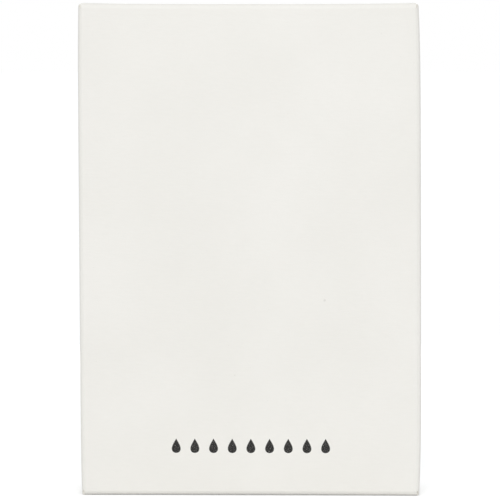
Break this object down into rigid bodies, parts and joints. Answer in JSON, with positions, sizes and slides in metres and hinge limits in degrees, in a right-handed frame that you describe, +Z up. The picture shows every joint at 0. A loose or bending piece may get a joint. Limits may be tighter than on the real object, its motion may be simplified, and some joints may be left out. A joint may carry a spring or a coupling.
{
  "type": "boxed shower cap",
  "caption": "Slim white paperboard tuck-end carton holding a folded film shower cap with an elastic hem; both ends open on hinged lids.",
  "frame": {"origin": "middle of the carton's footprint, on the surface that its bottom lid stands on", "axes": "+Z up the carton's height, +X to the right as the front is seen, front towards -Y"},
  "size_m": [0.065, 0.015, 0.0935],
  "materials": {
    "board_outside": "matte",
    "board_inside": "matte",
    "glue": "satin",
    "film": "satin",
    "elastic": "matte"
  },
  "bodies": {
    "carton": {"front_panel": "board_outside", "back_panel": "board_outside", "left_side_panel": "board_outside", "right_side_panel": "board_outside", "glue_flap": "board_inside", "seam_glue": "glue"},
    "top_lid": {"top_lid": "board_outside"},
    "top_tuck": {"top_tuck_flap": "board_outside"},
    "top_left_dust": {"top_left_dust_flap": "board_inside"},
    "top_right_dust": {"top_right_dust_flap": "board_inside"},
    "bottom_lid": {"bottom_lid": "board_outside"},
    "bottom_tuck": {"bottom_tuck_flap": "board_outside"},
    "bottom_left_dust": {"bottom_left_dust_flap": "board_inside"},
    "bottom_right_dust": {"bottom_right_dust_flap": "board_inside"},
    "cap": {"cap_film": "film", "cap_elastic": "elastic"}
  },
  "joints": [
    {"name": "top_lid_crease", "type": "hinge", "parent": "carton", "child": "top_lid", "pos_m": [0, -0.00724, 0.09324], "axis": [1, 0, 0], "range_deg": [0, 120]},
    {"name": "top_tuck_crease", "type": "hinge", "parent": "top_lid", "child": "top_tuck", "pos_m": [0, 0.00585, 0.09295], "axis": [1, 0, 0], "range_deg": [-60, 0]},
    {"name": "top_left_dust_crease", "type": "hinge", "parent": "carton", "child": "top_left_dust", "pos_m": [-0.03224, 0, 0.09259], "axis": [0, -1, 0], "range_deg": [0, 72]},
    {"name": "top_right_dust_crease", "type": "hinge", "parent": "carton", "child": "top_right_dust", "pos_m": [0.03224, 0, 0.09259], "axis": [0, 1, 0], "range_deg": [0, 72]},
    {"name": "bottom_lid_crease", "type": "hinge", "parent": "carton", "child": "bottom_lid", "pos_m": [0, -0.00724, 0.00026], "axis": [-1, 0, 0], "range_deg": [0, 120]},
    {"name": "bottom_tuck_crease", "type": "hinge", "parent": "bottom_lid", "child": "bottom_tuck", "pos_m": [0, 0.00585, 0.00055], "axis": [-1, 0, 0], "range_deg": [-60, 0]},
    {"name": "bottom_left_dust_crease", "type": "hinge", "parent": "carton", "child": "bottom_left_dust", "pos_m": [-0.03224, 0, 0.00091], "axis": [0, 1, 0], "range_deg": [0, 72]},
    {"name": "bottom_right_dust_crease", "type": "hinge", "parent": "carton", "child": "bottom_right_dust", "pos_m": [0.03224, 0, 0.00091], "axis": [0, -1, 0], "range_deg": [0, 72]},
    {"name": "cap_slide", "type": "slide", "parent": "carton", "child": "cap", "axis": [0, 0, 1], "range_m": [0, 0.0075]}
  ],
  "couplings": [
    {"joint": "top_tuck_crease", "follows": "top_lid_crease", "ratio": -0.5},
    {"joint": "top_left_dust_crease", "follows": "top_lid_crease", "ratio": 0.6},
    {"joint": "top_right_dust_crease", "follows": "top_lid_crease", "ratio": 0.6},
    {"joint": "bottom_tuck_crease", "follows": "bottom_lid_crease", "ratio": -0.5},
    {"joint": "bottom_left_dust_crease", "follows": "bottom_lid_crease", "ratio": 0.6},
    {"joint": "bottom_right_dust_crease", "follows": "bottom_lid_crease", "ratio": 0.6}
  ]
}
